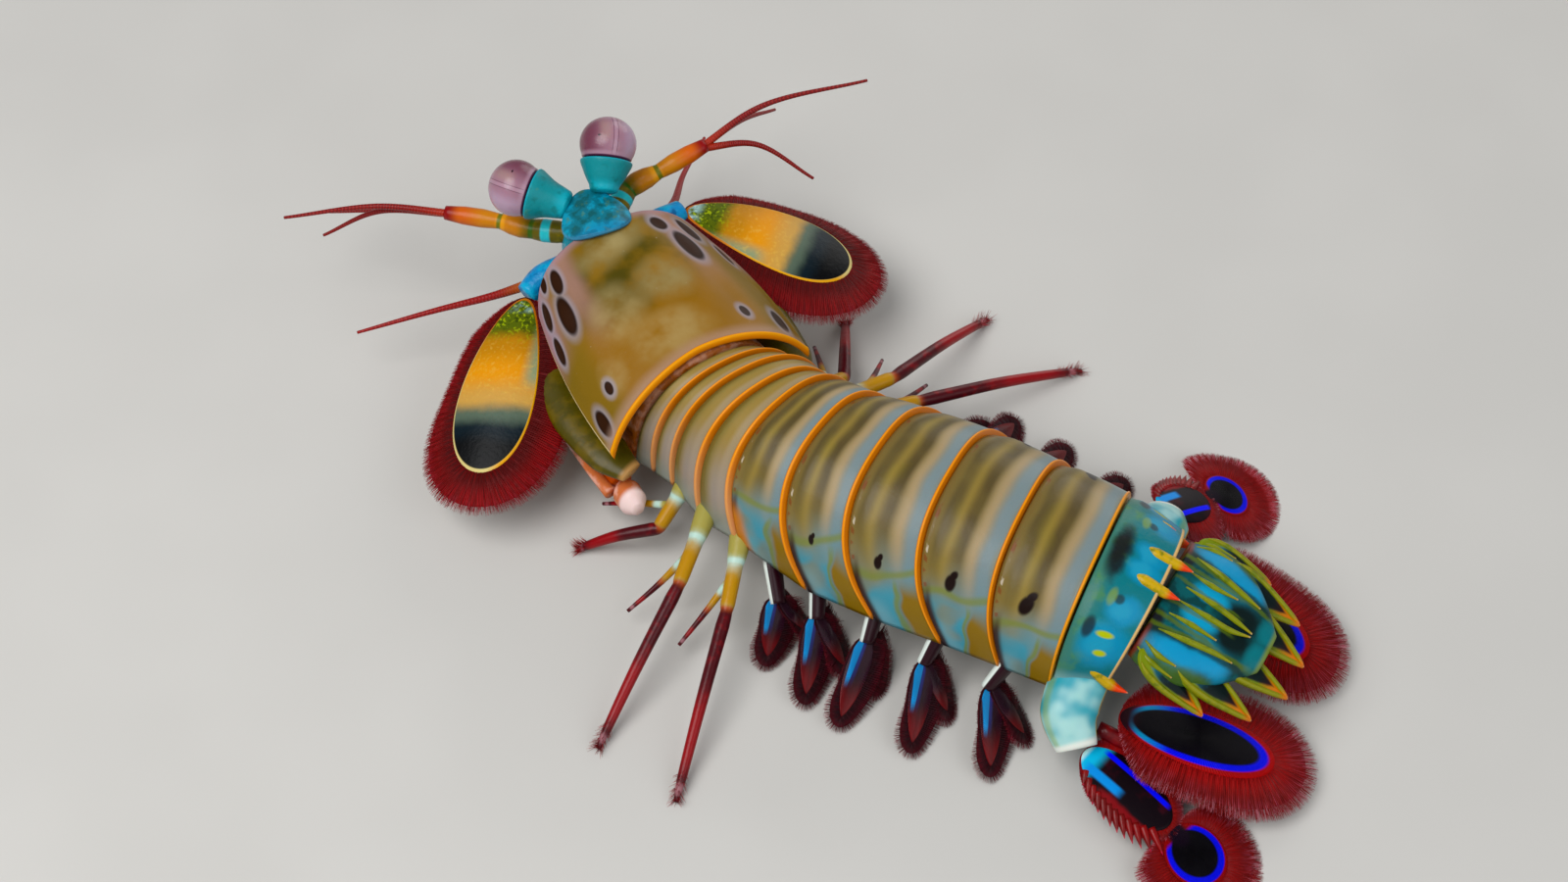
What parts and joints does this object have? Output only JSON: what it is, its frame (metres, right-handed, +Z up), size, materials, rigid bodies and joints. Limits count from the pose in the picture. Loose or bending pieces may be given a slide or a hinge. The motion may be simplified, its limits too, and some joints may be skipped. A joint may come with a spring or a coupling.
{
  "type": "mantis shrimp",
  "caption": "Life-size still model of a peacock mantis shrimp with banded shell, stalked eyes, fringed antennal scales, folded clubs and a spread tail fan.",
  "frame": {"origin": "bottom centre of the whole animal's bounding box, on the floor", "axes": "+Z up, -Y towards the head and +Y towards the tail fan, +X towards the animal's left side"},
  "size_m": [0.1126, 0.1896, 0.0391],
  "materials": {
    "carapace": "satin olive tan shell with dark ringed spots and an orange rear edge",
    "tergite": "satin olive shell bands with dark cross stripes, blue-grey flanks and orange rims",
    "joint": "satin teal skin with pale blue edges",
    "tail": "glossy turquoise shell with yellow keels and orange-red spines",
    "cornea": "glossy mauve eye surface with a fine middle band",
    "stalk": "satin turquoise stalk",
    "feeler": "satin olive to orange stalk with deep red whips",
    "scale": "amber plate that fades to blue-black, with a dark red fringe of setae",
    "club": "satin olive shell with an orange edge and a pink-white club",
    "limb": "dark red limb, yellow and pale blue near its root",
    "swimmer": "dark maroon leaf with a white and sky-blue leading stripe",
    "fan": "dark red fan with a blue-ringed black eye-spot and a fringe of setae"
  },
  "bodies": {
    "root": {"carapace": "carapace", "thorax_5": "tergite", "thorax_6": "tergite", "thorax_7": "tergite", "thorax_8": "tergite", "abdomen_1": "tergite", "abdomen_2": "tergite", "abdomen_3": "tergite", "abdomen_4": "tergite", "abdomen_5": "tergite", "cephalothorax": "joint", "head": "joint", "rostral_plate": "joint", "maxillipeds_left": "joint", "maxillipeds_right": "joint", "antenna_left": "joint", "antenna_right": "joint", "abdomen_6": "tail", "telson": "tail", "uropod_protopod_left": "tail", "uropod_protopod_right": "tail", "eye_left": "cornea", "eye_right": "cornea", "eyestalk_left": "stalk", "eyestalk_right": "stalk", "antennule_left": "feeler", "antennule_right": "feeler", "antennal_scale_left": "scale", "antennal_scale_right": "scale", "raptorial_merus_left": "club", "raptorial_merus_right": "club", "raptorial_propodus_left": "club", "raptorial_propodus_right": "club", "raptorial_dactyl_left": "club", "raptorial_dactyl_right": "club", "walking_leg_left_1": "limb", "walking_leg_left_2": "limb", "walking_leg_left_3": "limb", "walking_leg_right_1": "limb", "walking_leg_right_2": "limb", "walking_leg_right_3": "limb", "pleopod_left_1": "swimmer", "pleopod_left_2": "swimmer", "pleopod_left_3": "swimmer", "pleopod_left_4": "swimmer", "pleopod_left_5": "swimmer", "pleopod_right_1": "swimmer", "pleopod_right_2": "swimmer", "pleopod_right_3": "swimmer", "pleopod_right_4": "swimmer", "pleopod_right_5": "swimmer", "uropod_exopod_left": "fan", "uropod_exopod_right": "fan", "uropod_exopod_tip_left": "fan", "uropod_exopod_tip_right": "fan", "uropod_endopod_left": "fan", "uropod_endopod_right": "fan"}
  },
  "joints": []
}
